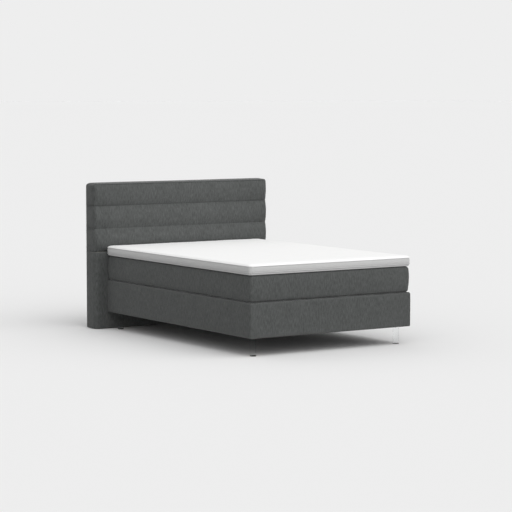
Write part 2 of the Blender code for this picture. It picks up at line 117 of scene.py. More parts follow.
# How far the cloth simulation may move each skin, the pressure that fills it, and how stiff it is.
channel_fill = 0.002
panel_fill = 0.001
base_fill = 0.0008
mattress_fill = 0.0015
topper_fill = 0.0015
full_pressure = 4.0
topper_pressure = 1.5
base_pressure = 1.0
fill_frames = 20
cloth_quality = 4
cloth_tension = 15
cloth_compression = 10
cloth_bending = 0.4

# How far padding lies out of true, and over what distance.
base_ripple = (0.0008, 0.12)
mattress_ripple = (0.0012, 0.10)
topper_ripple = (0.0010, 0.14)

# Places nearer than this are the same, and a cut takes a point this near as its own.
small = 1e-5
cut_reach = 1e-6

# A face whose normal has more than this of +Y faces back.
facing_back = 0.1


def span(node):
    """Give a node's ranges along X, Y and Z."""
    return list(zip(*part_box(node)))


def inset(limits, amount):
    """Draw a range in at both ends."""
    return (limits[0] + amount, limits[1] - amount)


def middle(limits):
    """Give the middle of a range."""
    return (limits[0] + limits[1]) / 2


def near(value, other, within=small):
    """Say whether two places are the same."""
    return abs(value - other) < within


# Shapes

def block(x, y, z):
    """Start a shape as a box between three ranges."""
    shape = bmesh.new()
    bmesh.ops.create_cube(shape, size=1)
    bmesh.ops.scale(shape, vec=[high - low for low, high in (x, y, z)], verts=shape.verts)
    bmesh.ops.translate(shape, vec=[middle(limits) for limits in (x, y, z)], verts=shape.verts)
    return shape


def round_edges(shape, edges, radius, steps=round_steps):
    """Round some edges."""
    bmesh.ops.bevel(shape, geom=edges, offset=radius, offset_type='OFFSET', segments=steps, profile=0.5,
                    affect='EDGES', material=-1)


def upright_edges(shape, y):
    """Give the upright edges at one place along the bed."""
    return [edge for edge in shape.edges
            if all(near(vert.co.y, y) for vert in edge.verts)
            and near(edge.verts[0].co.x, edge.verts[1].co.x)]


def level_edges(shape, height):
    """Give the edges that lie at one height."""
    return [edge for edge in shape.edges if all(near(vert.co.z, height) for vert in edge.verts)]


def slice_at(shape, axis, place):
    """Add a loop of edges where a plane meets the shape."""
    normal = Matrix.Identity(3)[axis]
    bmesh.ops.bisect_plane(shape, geom=shape.verts[:] + shape.edges[:] + shape.faces[:],
                           plane_co=normal * place, plane_no=normal, dist=cut_reach)


def slice_evenly(shape, axis, limits, step):
    """Cut a shape into even steps between two limits, which are cut as well."""
    count = max(1, round((limits[1] - limits[0]) / step))
    for number in range(count + 1):
        slice_at(shape, axis, limits[0] + (limits[1] - limits[0]) * number / count)


def drop(shape, test):
    """Take away the faces that pass a test of their middle and normal."""
    lost = [face for face in shape.faces if test(face.calc_center_median(), face.normal)]
    bmesh.ops.delete(shape, geom=lost, context='FACES')


def roll(past, edge):
    """Give how far a rolled edge has turned in, from the height past the start of its roll."""
    past = min(max(past, 0.0), edge)
    return edge - math.sqrt(edge ** 2 - past ** 2)


def shift_in(verts, x, y, band, depth_at):
    """Move the sides in by a depth that changes with height, and the rounded corners with them."""
    for vert in verts:
        depth = depth_at(vert.co.z)
        for axis, limits in enumerate((x, y)):
            if vert.co[axis] < limits[0] + band + small:
                vert.co[axis] += depth
            elif vert.co[axis] > limits[1] - band - small:
                vert.co[axis] -= depth


def cushion(x, y, z, corners, edges, bulge=0.0, cells=(cloth_cell, cloth_cell)):
    """Shape a cushion with rounded corners, whose top and bottom edges roll in."""
    shape = block(x, y, z)
    for place, corner in zip(y, corners):
        round_edges(shape, upright_edges(shape, place), corner)
    for step in range(round_steps):
        rest = 1 - math.sin(step / round_steps * math.pi / 2)
        slice_at(shape, 2, z[1] - edges[0] * rest)
        slice_at(shape, 2, z[0] + edges[1] * rest)
    slice_evenly(shape, 2, (z[0] + edges[1], z[1] - edges[0]), cloth_cell)
    margin = max(corners) + max(edges) + bulge + cloth_cell / 2
    for axis, limits in enumerate((x, y)):
        slice_evenly(shape, axis, inset(limits, margin), cells[axis])
    half = (z[1] - z[0]) / 2

    def depth_at(height):
        """Give how far the sides lie in from the box."""
        rolled = roll(height - z[1] + edges[0], edges[0]) + roll(z[0] + edges[1] - height, edges[1])
        return rolled + bulge * ((height - middle(z)) / half) ** 2

    shift_in(shape.verts, x, y, max(corners), depth_at)
    return shape


def turn_under(shape, x, y, height, band, dropped=0.0):
    """Open a cushion at one height and fold its cloth in there, hanging lower than the cushion if asked."""
    drop(shape, lambda place, normal: near(place.z, height))
    rim = [edge for edge in shape.edges if edge.is_boundary]
    for vert in shape.verts:
        past = (vert.co.z - height) / (2 * dropped) if dropped else 1.0
        vert.co.z -= dropped * max(0.0, 1.0 - past)
    made = bmesh.ops.extrude_edge_only(shape, edges=rim)["geom"]
    verts = [part for part in made if isinstance(part, bmesh.types.BMVert)]
    shift_in(verts, x, y, band, lambda place: turned_under)
    bmesh.ops.translate(shape, vec=(0, 0, dropped), verts=verts)


def ripple(shape, amount, spread):
    """Press a shape in and out a little, as padding never lies quite flat."""
    shape.normal_update()
    moves = [vert.normal * noise.noise(vert.co / spread) * amount for vert in shape.verts]
    for vert, move in zip(shape.verts, moves):
        vert.co += move


def to_object(shape, name):
    """Turn a shape into an object in the scene."""
    data = bpy.data.meshes.new(name)
    shape.to_mesh(data)
    shape.free()
    data.shade_smooth()
    data.set_sharp_from_angle(angle=sharp_angle)
    piece = bpy.data.objects.new(name, data)
    bpy.context.scene.collection.objects.link(piece)
    return piece


def baked(piece):
    """Give the mesh of an object with its modifiers applied."""
    graph = bpy.context.evaluated_depsgraph_get()
    return bpy.data.meshes.new_from_object(piece.evaluated_get(graph))


def lay_weave(piece):
    """Lay the cloth's own coordinates, in metres, over each face by the way it faces."""
    data = piece.data
    cloth = data.uv_layers.new(name="weave")
    for face in data.polygons:
        sizes = [abs(part) for part in face.normal]
        facing = sizes.index(max(sizes))
        across, along = ((1, 2), (0, 2), (0, 1))[facing]
        for loop in face.loop_indices:
            place = data.vertices[data.loops[loop].vertex_index].co
            cloth.data[loop].uv = (place[across] + facing * headboard_corner, place[along])


def dress(piece, body, material, slot, *nodes):
    """Give a piece its cloth and its body, and hide the nodes that it stands for. Its slot is not used."""
    lay_weave(piece)
    piece.data.materials.append(material)
    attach(piece, body)
    if nodes:
        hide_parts(*nodes)


def thicken(piece, wall):
    """Give a skin its wall, inwards."""
    modifier = piece.modifiers.new("wall", 'SOLIDIFY')
    modifier.thickness = wall
    modifier.offset = -1


# Padding: each soft skin is held where it is sewn, stapled or backed, and Cloth fills it out from there.

soft_skins = []


def hold(piece, held, reach, pressure=full_pressure):
    """Note a skin that the cloth simulation will fill out, and where it is held."""
    group = piece.vertex_groups.new(name="held")
    group.add([vert.index for vert in piece.data.vertices if held(vert.co)], 1.0, 'REPLACE')
    soft_skins.append((piece, reach, pressure))


def fill_out():
    """Run the cloth simulation on all the soft skins together and keep its result."""
    for piece, reach, pressure in soft_skins:
        cloth = piece.modifiers.new("cloth", 'CLOTH')
        settings = cloth.settings
        settings.quality = cloth_quality
        settings.use_pressure = True
        settings.uniform_pressure_force = pressure
        settings.effector_weights.gravity = 0
        settings.vertex_group_mass = "held"
        settings.tension_stiffness = cloth_tension
        settings.compression_stiffness = cloth_compression
        settings.bending_stiffness = cloth_bending
        cloth.collision_settings.use_collision = False
        cloth.collision_settings.use_self_collision = False
    for number in range(1, fill_frames + 1):
        bpy.context.scene.frame_set(number)
    graph = bpy.context.evaluated_depsgraph_get()
    for piece, reach, pressure in soft_skins:
        filled = piece.evaluated_get(graph).to_mesh()
        for vert, moved in zip(piece.data.vertices, filled.vertices):
            step = moved.co - vert.co
            if step.length > reach:
                step *= reach / step.length
            vert.co += step
        piece.modifiers.remove(piece.modifiers["cloth"])
    bpy.context.scene.frame_set(1)


# Headboard

board_x, board_y, _ = span("headboard_lower_cover")
lining_x, lining_y, lining_z = span("headboard_back_cloth")


def wrap(z, wall, top_edge=0.0):
    """Wrap padding round the front, the sides and the back edges of the headboard."""
    shape = block(board_x, board_y, z)
    round_edges(shape, upright_edges(shape, board_y[0]), headboard_corner)
    if top_edge:
        round_edges(shape, level_edges(shape, z[1]), top_edge)
    slice_evenly(shape, 0, inset(board_x, headboard_corner + small), cloth_cell)
    slice_evenly(shape, 1, (board_y[0] + headboard_corner, board_y[1] - cloth_cell), cloth_cell)
    slice_evenly(shape, 2, (z[0] + cloth_cell / 4, z[1] - max(top_edge, cloth_cell / 4)), cloth_cell / 2)
    for place in lining_x:
        slice_at(shape, 0, place)
    if top_edge:
        slice_at(shape, 2, lining_z[1])

    def unseen(place, normal):
        """Say whether a face lies in a seam or under the back lining."""
        if near(place.z, z[0]) or (near(place.z, z[1]) and not top_edge):
            return True
        covered = lining_x[0] < place.x < lining_x[1] and place.z < lining_z[1]
        return covered and place.y > lining_y[0] and normal.y > facing_back

    drop(shape, unseen)
    bmesh.ops.solidify(shape, geom=shape.faces[:], thickness=wall)
    bmesh.ops.recalc_face_normals(shape, faces=shape.faces)
    return shape


def past_core(place):
    """Give how far a place lies outside the headboard's core, to the side and to the front."""
    core_x = inset(board_x, headboard_corner)
    past_x = place.x - min(max(place.x, core_x[0]), core_x[1])
    return past_x, min(place.y - board_y[0] - headboard_corner, 0.0)


def on_face(place, wall):
    """Say whether a place is on the padding's outer face and not inside it."""
    return math.hypot(*past_core(place)) > headboard_corner - wall / 4


def make_channel(name, z, wall, depth_at, top_edge=0.0, reach=channel_fill):
    """Make one padded section of the headboard. Its seams draw in, and at the sides fade towards the back."""
    shape = wrap(z, wall, top_edge)
    for vert in shape.verts:
        if on_face(vert.co, wall):
            past_x, past_y = past_core(vert.co)
            fade = min(1.0, crease_fade * (board_y[1] - vert.co.y) / (board_y[1] - board_y[0]))
            front, side = depth_at(vert.co.z)
            if vert.co.z < z[1] - top_edge:
                vert.co.x -= past_x / headboard_corner * side * fade
            vert.co.y -= past_y / headboard_corner * front
    pad = to_object(shape, name)
    inner = headboard_corner - channel_recess - crease_depth - (wall - channel_recess - crease_depth) / 2

    def held(place):
        """Say whether a place is sewn, stapled or backed by the board."""
        sewn = place.z < z[0] + small or (place.z > z[1] - small and not top_edge)
        stapled = place.y > board_y[1] - cloth_cell
        return sewn or stapled or (place.z < z[1] - top_edge and math.hypot(*past_core(place)) < inner)

    hold(pad, held, reach)
    return pad


def make_headboard(material):
    """Make the three padded channels and the plain upholstered section under them."""
    for name in ("lower", "middle", "top"):
        top_edge = headboard_top_edge if name == "top" else 0.0
        low, high = span("headboard_channel_" + name)[2]
        low -= ledge_drop if name == "lower" else seam_drop
        z = (low - seam_reach, high if top_edge else high - seam_drop + seam_reach)
        half = (z[1] - z[0]) / 2

        def depth_at(height):
            """Give how far the face is drawn in at the front and at the sides."""
            out = abs(height - middle(z)) / half
            free = top_edge and height > middle(z)
            crease = 0.0 if free else out ** crease_power
            round_in = channel_recess * out ** 2 * (channel_top_share if free else 1.0)
            return (round_in + crease * crease_depth,
                    round_in * channel_side_share + crease * side_crease_depth)

        pad = make_channel("channel_pad_" + name, z, channel_wall, depth_at, top_edge)
        padded_pieces.append((pad, material, "grey_fabric", "bed_frame", ("headboard_channel_" + name,), 0.8))
    low, high = span("headboard_lower_cover")[2]
    z = (low, high - ledge_drop + seam_reach)
    panel = make_channel("lower_panel_cover", z, lower_cover_wall,
                         lambda height: [roll(height - z[1] + ledge_edge, ledge_edge)] * 2, reach=panel_fill)
    padded_pieces.append((panel, material, "grey_fabric", "bed_frame", ("headboard_lower_cover",), 0.9))


# Each entry is a piece, its cloth, its slot, its body, the nodes that it replaces and how full it is.
padded_pieces = []


# Base

def make_base_cover(material):
    """Make the fabric round the four sides of the base, turned in at its top and bottom edges."""
    x, y, z = span("base_side_cover")
    shape = cushion(x, y, z, base_corners, base_edges)
    band = max(base_corners) + max(base_edges)
    for height in z:
        turn_under(shape, x, y, height, band)
    ripple(shape, *base_ripple)
    cover = to_object(shape, "base_fabric")
    hold(cover, lambda place: not z[0] + base_edges[1] < place.z < z[1] - base_edges[0],
         base_fill, base_pressure)
    thicken(cover, base_wall)
    padded_pieces.append((cover, material, "grey_fabric", "bed_frame", ("base_side_cover",), 0.9))


# Mattress

def make_mattress(material):
    """Make the mattress cover: bulging sides, a rolled top edge and a quilted top."""
    x, y, z = span("mattress_cover")
    margin = max(mattress_corners) + max(mattress_edges) + mattress_bulge + cloth_cell / 2
    seams = (inset(x, margin), inset(y, margin))
    squares = [(limits[1] - limits[0]) / count for limits, count in zip(seams, quilt_counts)]
    cells = [side / quilt_steps for side in squares]
    shape = cushion(x, y, z, mattress_corners, mattress_edges, mattress_bulge, cells)
    turn_under(shape, x, y, z[0], max(mattress_corners) + mattress_edges[1] + mattress_bulge)

    def sewn(place):
        """Say whether a place is on a line of the quilting."""
        steps = [(place[axis] - seams[axis][0]) / squares[axis] for axis in (0, 1)]
        inside = all(-small < step < count + small for step, count in zip(steps, quilt_counts))
        return inside and any(near(step, round(step), stitch_share) for step in steps)

    for vert in shape.verts:
        if near(vert.co.z, z[1]) and sewn(vert.co):
            vert.co.z -= quilt_depth
        elif vert.co.z > z[1] - mattress_edges[0] / 2:
            vert.co.z -= mattress_settle * (vert.co.z - z[1] + mattress_edges[0] / 2) / mattress_edges[0] * 2
    ripple(shape, *mattress_ripple)
    pad = to_object(shape, "mattress_pad")
    hold(pad, lambda place: place.z < z[0] + mattress_edges[1] or (
        place.z > z[1] - 1.5 * quilt_depth and sewn(place)), mattress_fill)
    thicken(pad, mattress_wall)
    padded_pieces.append((pad, material, "grey_fabric", "mattress", ("mattress_cover",), 0.85))


# Topper

upper_piping_z = middle(span("topper_upper_piping")[2])
lower_piping_z = middle(span("topper_lower_piping")[2])
topper_x, topper_y, topper_z = span("topper_cover")


def make_topper(top_material, painted_shade_material):
    """Make the topper's top panel, and the strip that rolls in under its border."""
    shape = cushion(topper_x, topper_y, topper_z, topper_corners, topper_edges,
                    cells=(topper_cell, topper_cell))
    for height in (lower_piping_z, upper_piping_z):
        slice_at(shape, 2, height)
    strip = shape.copy()
    drop(shape, lambda place, normal: place.z < upper_piping_z)
    drop(strip, lambda place, normal: place.z > lower_piping_z)
    for vert in shape.verts:
        rise = (1 - (vert.co.x / topper_x[1]) ** 4) * (
            1 - ((vert.co.y - middle(topper_y)) / (topper_y[1] - middle(topper_y))) ** 4)
        lift = max(0.0, (vert.co.z - upper_piping_z) / (topper_z[1] - upper_piping_z))
        vert.co.z -= topper_crown * (1 - rise) * lift
    ripple(shape, *topper_ripple)
    top = to_object(shape, "topper_top_panel")
    hold(top, lambda place: place.z < upper_piping_z + small, topper_fill, topper_pressure)
    thicken(top, topper_wall)
    padded_pieces.append((top, top_material, "white_knit", "topper", ("topper_cover",), 0.8))
    turn_under(strip, topper_x, topper_y, topper_z[0], max(topper_corners) + topper_edges[1], strip_drop)
    under = to_object(strip, "topper_lower_strip")
    thicken(under, topper_wall)
    # The rolled strip wears the white knit darkened as painted shade.
    padded_pieces.append((under, painted_shade_material, "white_knit", "topper", (), 0.8))


def closed_path(name, x, y, corners, height):
    """Make a closed curve round a rectangle with rounded corners."""
    curve = bpy.data.curves.new(name, 'CURVE')
    curve.dimensions = '3D'
    curve.twist_mode = 'Z_UP'
    curve.resolution_u = path_steps
    foot, head = corners
    stops = []
    for side_x, side_y, corner in ((1, -1, foot), (1, 1, head), (-1, 1, head), (-1, -1, foot)):
        pull = corner * (1 - 4 / 3 * (math.sqrt(2) - 1))
        ends = [((0, corner), (0, pull)), ((corner, 0), (pull, 0))]
        if side_x != side_y:
            ends.reverse()
        tip_x = x[1] if side_x > 0 else x[0]
        tip_y = y[1] if side_y > 0 else y[0]
        for number, (end, handle) in enumerate(ends):
            place = (tip_x - side_x * end[0], tip_y - side_y * end[1], height)
            lever = (tip_x - side_x * handle[0], tip_y - side_y * handle[1], height)
            stops.append((place, lever, number))
    spline = curve.splines.new('BEZIER')
    spline.bezier_points.add(len(stops) - 1)
    spline.use_cyclic_u = True
    for point, (place, lever, number) in zip(spline.bezier_points, stops):
        point.co = place
        away = [2 * here - there for here, there in zip(place, lever)]
        point.handle_left = lever if number else away
        point.handle_right = away if number else lever
    return curve


def along_path(curve, name):
    """Put a curve in the scene."""
    carrier = bpy.data.objects.new(name, curve)
    bpy.context.scene.collection.objects.link(carrier)
    return carrier


def make_border(material):
    """Make the ribbed border between the two pipings, one rib repeated all the way round."""
    height = upper_piping_z - lower_piping_z
    shape = bmesh.new()
    bmesh.ops.create_grid(shape, x_segments=rib_faces[0], y_segments=rib_faces[1], size=0.5)
    bmesh.ops.rotate(shape, matrix=Matrix.Rotation(math.pi / 2, 3, 'X'), verts=shape.verts)
    curve = closed_path("border_path", topper_x, topper_y, topper_corners,
                        middle((upper_piping_z, lower_piping_z)))
    length = curve.splines[0].calc_length()
    count = round(length / rib_pitch)
    pitch = length / count
    bmesh.ops.scale(shape, vec=(pitch, 1, height), verts=shape.verts)
    for vert in shape.verts:
        up = 2 * vert.co.z / height
        swell = max(0.0, math.cos(math.pi * vert.co.x / pitch)) ** rib_fullness * (1 - up ** rib_end_power)
        vert.co.y = -rib_proud * swell - border_bulge * (1 - up ** 2)
    path = along_path(curve, "border_path")
    border = to_object(shape, "topper_border")
    array = border.modifiers.new("repeat", 'ARRAY')
    array.use_relative_offset = False
    array.use_constant_offset = True
    array.constant_offset_displace = (pitch, 0, 0)
    array.count = count
    array.use_merge_vertices = True
    array.merge_threshold = rib_join / 4
    bend = border.modifiers.new("bend", 'CURVE')
    bend.object = path
    data = baked(border)
    border.modifiers.clear()
    border.data = data
    bpy.data.objects.remove(path)
    joined = bmesh.new()
    joined.from_mesh(data)
    bmesh.ops.remove_doubles(joined, verts=joined.verts, dist=rib_join)
    joined.to_mesh(data)
    joined.free()
    thicken(border, border_wall)
    padded_pieces.append((border, material, "white_knit", "topper", (), 0.6))


def make_pipings(materials):
    """Make the two round pipings of the border."""
    for place, material in zip(("upper", "lower"), materials):
        node = "topper_" + place + "_piping"
        x, y, z = span(node)
        corners = [corner + piping_radius for corner in topper_corners]
        curve = closed_path(node, inset(x, piping_radius), inset(y, piping_radius), corners, middle(z))
        curve.bevel_depth = piping_radius
        curve.bevel_resolution = 3
        carrier = along_path(curve, node)
        data = baked(carrier)
        bpy.data.objects.remove(carrier)
        data.name = place + "_piping"
        data.shade_smooth()
        piece = bpy.data.objects.new(place + "_piping", data)
        bpy.context.scene.collection.objects.link(piece)
        padded_pieces.append((piece, material, "white_knit", "topper", (node,), 0.9))


# Flat cloths, each stretched over a frame or sewn under a cushion

def make_cloth(name, node, body, material, slot, facing, over=0.0, sag=0.0, staples=None):
    """Make one flat cloth with a folded hem, where its node lies; facing is +1 or -1 along its thin axis."""
    box = span(node)
    thin = min(range(3), key=lambda axis: box[axis][1] - box[axis][0])
    flat = [axis for axis in range(3) if axis != thin]
    sides = [inset(box[axis], -over) for axis in flat]
    outer = box[thin][1] if facing > 0 else box[thin][0]
    base = outer - facing * lining_inset * lining_thickness
    shape = bmesh.new()
    bmesh.ops.create_grid(shape, x_segments=2, y_segments=2, size=0.5)
    bmesh.ops.scale(shape, vec=[sides[0][1] - sides[0][0], sides[1][1] - sides[1][0], 1], verts=shape.verts)
    bmesh.ops.translate(shape, vec=[middle(sides[0]), middle(sides[1]), 0], verts=shape.verts)
    for axis, limits in enumerate(sides):
        slice_evenly(shape, axis, inset(limits, hem_width), lining_cell)
        for place in inset(limits, hem_width + hem_fold):
            slice_at(shape, axis, place)
    for vert in shape.verts:
        across, along = vert.co.x, vert.co.y
        edge = min(across - sides[0][0], sides[0][1] - across, along - sides[1][0], sides[1][1] - along)
        hem = lining_thickness if edge < hem_width + small else 0.0
        free = (1 - ((across - middle(sides[0])) / (sides[0][1] - sides[0][0]) * 2) ** 4) * (
            1 - ((along - middle(sides[1])) / (sides[1][1] - sides[1][0]) * 2) ** 4)
        wave = noise.noise((across * wrinkle_rate, along * wrinkle_rate, 3))
        wrinkle = wave * lining_thickness * lining_wrinkle
        place = Vector((0, 0, 0))
        place[flat[0]] = across
        place[flat[1]] = along
        place[thin] = base + facing * (hem + wrinkle + sag * max(0.0, free))
        vert.co = place
    for face in shape.faces:
        face.normal_update()
    if sum(face.normal[thin] for face in shape.faces) * facing < 0:
        bmesh.ops.reverse_faces(shape, faces=shape.faces)
    cloth = to_object(shape, name)
    thicken(cloth, lining_thickness)
    dress(cloth, body, material, slot, node)
    fixings = []
    if staples:
        top = base + facing * 2 * lining_thickness
        fixings.append(make_staples(name + "_staples", sides, thin, flat, top))
        dress(fixings[0], body, staples, "steel")
    cut = [limits[1] - limits[0] + 2 * hem_width for limits in sides]


def make_staples(name, sides, thin, flat, height):
    """Drive a row of staples round the hem of a stapled cloth."""
    shape = bmesh.new()
    for axis in (0, 1):
        run = inset(sides[axis], staple_pitch / 2)
        count = round((run[1] - run[0]) / staple_pitch)
        for side in inset(sides[1 - axis], hem_width / 2):
            for number in range(count + 1):
                made = bmesh.ops.create_cube(shape, size=1)["verts"]
                size = [0, 0, 0]
                size[flat[axis]], size[flat[1 - axis]], size[thin] = staple_crown
                place = Vector((0, 0, 0))
                place[flat[axis]] = run[0] + (run[1] - run[0]) * number / count
                place[flat[1 - axis]] = side
                place[thin] = height
                bmesh.ops.scale(shape, vec=size, verts=made)
                bmesh.ops.translate(shape, vec=place, verts=made)
    bmesh.ops.bevel(shape, geom=shape.edges, offset=staple_crown[2] / 3, offset_type='OFFSET', segments=1,
                    profile=0.5, affect='EDGES', material=-1)
    return to_object(shape, name)


# Materials

class Level:
    """A value that changes over a surface. Arithmetic on it adds Math nodes."""

    def __init__(self, nodes, socket):
        self.nodes = nodes
        self.socket = socket

    def worked(self, operation, *values):
        """Work on this level with a Math node."""
        return self.nodes.node('Math', {'operation': operation}, dict(enumerate((self, *values))))

    def __add__(self, other):
        return self.worked('ADD', other)

    def __sub__(self, other):
        return self.worked('SUBTRACT', other)

    def __rsub__(self, other):
        return (self * -1) + other

    def __mul__(self, other):
        return self.worked('MULTIPLY', other)

    def __pow__(self, other):
        return self.worked('POWER', other)

    __radd__ = __add__
    __rmul__ = __mul__


class Nodes:
    """The nodes of a material or of the studio's light."""

    def __init__(self, tree):
        self.tree = tree

    def node(self, kind, settings, inputs, output=0):
        """Add one node: its settings first, then the values or links of its sockets."""
        made = self.tree.nodes.new("ShaderNode" + kind)
        for key, value in settings.items():
            if key == 'stops':
                for stop, (place, colour) in zip(made.color_ramp.elements, value):
                    stop.position = place
                    stop.color = (*colour, 1)
            else:
                setattr(made, key, value)
        for place, value in inputs.items():
            self.feed(made.inputs[place], value)
        return Level(self, made.outputs[output])

    def feed(self, socket, value):
        """Link a level to a socket, or set the socket's own value."""
        if isinstance(value, Level):
            self.tree.links.new(value.socket, socket)
        else:
            socket.default_value = value

    def parts(self, vector):
        """Split a vector into its three levels."""
        split = self.node('SeparateXYZ', {}, {0: vector}).socket.node
        return [Level(self, socket) for socket in split.outputs]


class Dye(Nodes):
    """A material in the making."""

    def __init__(self, name, shown, **constants):
        self.material = bpy.data.materials.new(name)
        self.material.use_nodes = True
        self.material.diffuse_color = (*shown, 1)
        super().__init__(self.material.node_tree)
        self.shader = self.tree.nodes["Principled BSDF"]
        for place, value in constants.items():
            self.shader.inputs[place.replace("_", " ")].default_value = value

    def place(self, woven=False, stretch=(1, 1, 1)):
        """Give a point on the surface, on the piece or on the cloth, scaled along each way."""
        source = self.node('TexCoord', {}, {}, 'Object') if not woven else self.node(
            'UVMap', {'uv_map': "weave"}, {})
        return self.node('Mapping', {}, {'Vector': source, 'Scale': stretch})

    def noise(self, point, scale=1.0, detail=2.0, roughness=0.5):
        """Give a cloudy level about one half."""
        return self.node('TexNoise', {}, {'Vector': point, 'Scale': scale, 'Detail': detail,
                                          'Roughness': roughness})

    def tint(self, level, dark, light):
        """Colour a level from dark to light."""
        return self.node('ValToRGB', {'stops': ((0, dark), (1, light))}, {0: level})

    def finish(self, colour, roughness=None, height=None, depth=0.001, strength=0.5):
        """Feed the shader, with a bump of some depth where there is a height."""
        self.feed(self.shader.inputs['Base Color'], colour)
        if roughness is not None:
            self.feed(self.shader.inputs['Roughness'], roughness)
        if height is not None:
            bump = self.node('Bump', {}, {'Height': height, 'Distance': depth, 'Strength': strength})
            self.feed(self.shader.inputs['Normal'], bump)
        return self.material


def shade(colour, amount):
    """Lighten or darken a colour."""
    return tuple(part * amount for part in colour)


def weave_height(dye, pitch):
    """Work out a plain weave of threads, each over one and under the next."""
    across, along, _ = dye.parts(dye.place(woven=True, stretch=(1 / pitch, 1 / pitch, 1)))
    warp = (across * math.pi).worked('SINE').worked('ABSOLUTE')
    weft = (along * math.pi).worked('SINE').worked('ABSOLUTE')
    over = (across.worked('FLOOR') + along.worked('FLOOR')).worked('MODULO', 2.0).worked('ABSOLUTE')
    return warp * over + weft * (1 - over), over


def grey_weave():
    """Dark grey upholstery fabric: mixed threads, short slubs and faint mottling, with a painted highlight on
    the thread crests and painted shade between the threads.
    """
    colour = (0.0853, 0.0893, 0.0875)
    dye = Dye("grey_weave", colour, Roughness=0.9, Specular_IOR_Level=0.25, Sheen_Weight=0.3,
              Sheen_Roughness=0.35)
    height, over = weave_height(dye, thread_pitch)
    warp = dye.noise(dye.place(True, (620, 20, 1)), detail=1.0)
    weft = dye.noise(dye.place(True, (26, 620, 1)), detail=1.0)
    slub = dye.noise(dye.place(True, (330, 30, 1)), detail=2.0, roughness=0.6)
    streak = dye.noise(dye.place(True, (110, 27, 1)), detail=2.0, roughness=0.55)
    cloud = dye.noise(dye.place(True, (11, 5, 1)), detail=2.0)
    thread = warp * over + weft * (1 - over)
    level = thread * 0.5 + slub * 0.55 + streak * 0.8 + cloud * 0.2 - 0.525
    # The weave's height lightens the thread crests and darkens the gaps between threads: a painted highlight
    # and painted shade.
    tone = dye.tint(level + height * 0.12 - 0.06, shade(colour, 0.35), shade(colour, 1.65))
    return dye.finish(tone, height=height, depth=0.0005, strength=0.6)


def white_knit(name, colour):
    """White knitted ticking."""
    dye = Dye(name, colour, Roughness=0.85, Specular_IOR_Level=0.3, Sheen_Weight=0.1, Sheen_Roughness=0.4)
    loops = dye.noise(dye.place(stretch=(900, 900, 500)))
    cloud = dye.noise(dye.place(stretch=(30, 30, 60)), detail=3.0)
    tone = dye.tint(cloud * 0.6 + loops * 0.4, shade(colour, 0.97), shade(colour, 1.04))
    return dye.finish(tone, height=loops, depth=0.0004, strength=0.35)


def lining(name, colour):
    """Thin bonded cloth, with fibres pressed flat."""
    dye = Dye(name, colour, Roughness=0.95, Specular_IOR_Level=0.2)
    fibres = dye.noise(dye.place(stretch=(500, 500, 500)), detail=3.0, roughness=0.7)
    patches = dye.noise(dye.place(stretch=(12, 12, 12)), detail=3.0)
    tone = dye.tint(fibres * 0.5 + patches * 0.5, shade(colour, 0.6), shade(colour, 1.5))
    return dye.finish(tone, height=fibres, depth=0.0003, strength=0.4)


def moulded_plastic():
    """Black plastic with a fine moulded grain."""
    colour = (0.012, 0.012, 0.012)
    dye = Dye("moulded_plastic", colour, Specular_IOR_Level=0.2)
    grain = dye.noise(dye.place(stretch=(1500, 1500, 1500)))
    wear = dye.noise(dye.place(stretch=(90, 90, 90)), detail=3.0)
    tone = dye.tint(wear, shade(colour, 0.8), shade(colour, 1.6))
    return dye.finish(tone, wear * 0.2 + 0.45, grain, 0.0001, 0.3)


def clear_acrylic():
    """Clear acrylic rod, polished, with the faintest clouding."""
    colour = (0.93, 0.96, 0.96)
    dye = Dye("clear_acrylic", colour, IOR=1.12, Transmission_Weight=1.0, Alpha=0.3)
    cloud = dye.noise(dye.place(stretch=(60, 60, 60)), detail=2.0)
    tone = dye.tint(cloud, shade(colour, 0.97), shade(colour, 1.02))
    dye.material.surface_render_method = 'BLENDED'
    return dye.finish(tone, cloud * 0.04 + 0.03)


def sawn_wood(name, colour, along, rings=38.0):
    """Sawn wood with its grain along one axis."""
    dye = Dye(name, colour, Specular_IOR_Level=0.3)
    stretch = [6.0 if axis == along else 60.0 for axis in range(3)]
    warped = dye.noise(dye.place(stretch=stretch), scale=0.5, detail=4.0, roughness=0.6)
    fine = dye.noise(dye.place(stretch=[part * rings / 4 for part in stretch]), detail=2.0)
    band = (warped * rings).worked('SINE') * 0.5 + 0.5
    tone = dye.tint(band * 0.6 + fine * 0.4, shade(colour, 0.72), shade(colour, 1.12))
    return dye.finish(tone, 0.85 - band * 0.2, fine, 0.0004, 0.3)


def open_foam():
    """Cut upholstery foam with open cells."""
    colour = (0.78, 0.74, 0.60)
    dye = Dye("open_foam", colour, Roughness=0.95, Specular_IOR_Level=0.15)
    cells = dye.node('TexVoronoi', {}, {'Vector': dye.place(), 'Scale': 700.0})
    patches = dye.noise(dye.place(stretch=(9, 9, 9)), detail=2.0)
    tone = dye.tint(cells * 0.5 + patches * 0.5, shade(colour, 0.85), shade(colour, 1.05))
    return dye.finish(tone, height=cells, depth=0.0005, strength=0.5)


def spring_pockets():
    """Bonded white cloth of spring pockets, with weld lines."""
    colour = (0.74, 0.75, 0.76)
    dye = Dye("spring_pockets", colour, Roughness=0.9, Specular_IOR_Level=0.2)
    fibres = dye.noise(dye.place(stretch=(400, 400, 400)), detail=3.0)
    weld = dye.node('TexWave', {'bands_direction': 'Z'},
                    {'Vector': dye.place(), 'Scale': 12.0, 'Distortion': 0.4}, 'Fac')
    tone = dye.tint(fibres * 0.4 + weld * 0.6, shade(colour, 0.8), shade(colour, 1.08))
    return dye.finish(tone, height=fibres, depth=0.0003, strength=0.4)


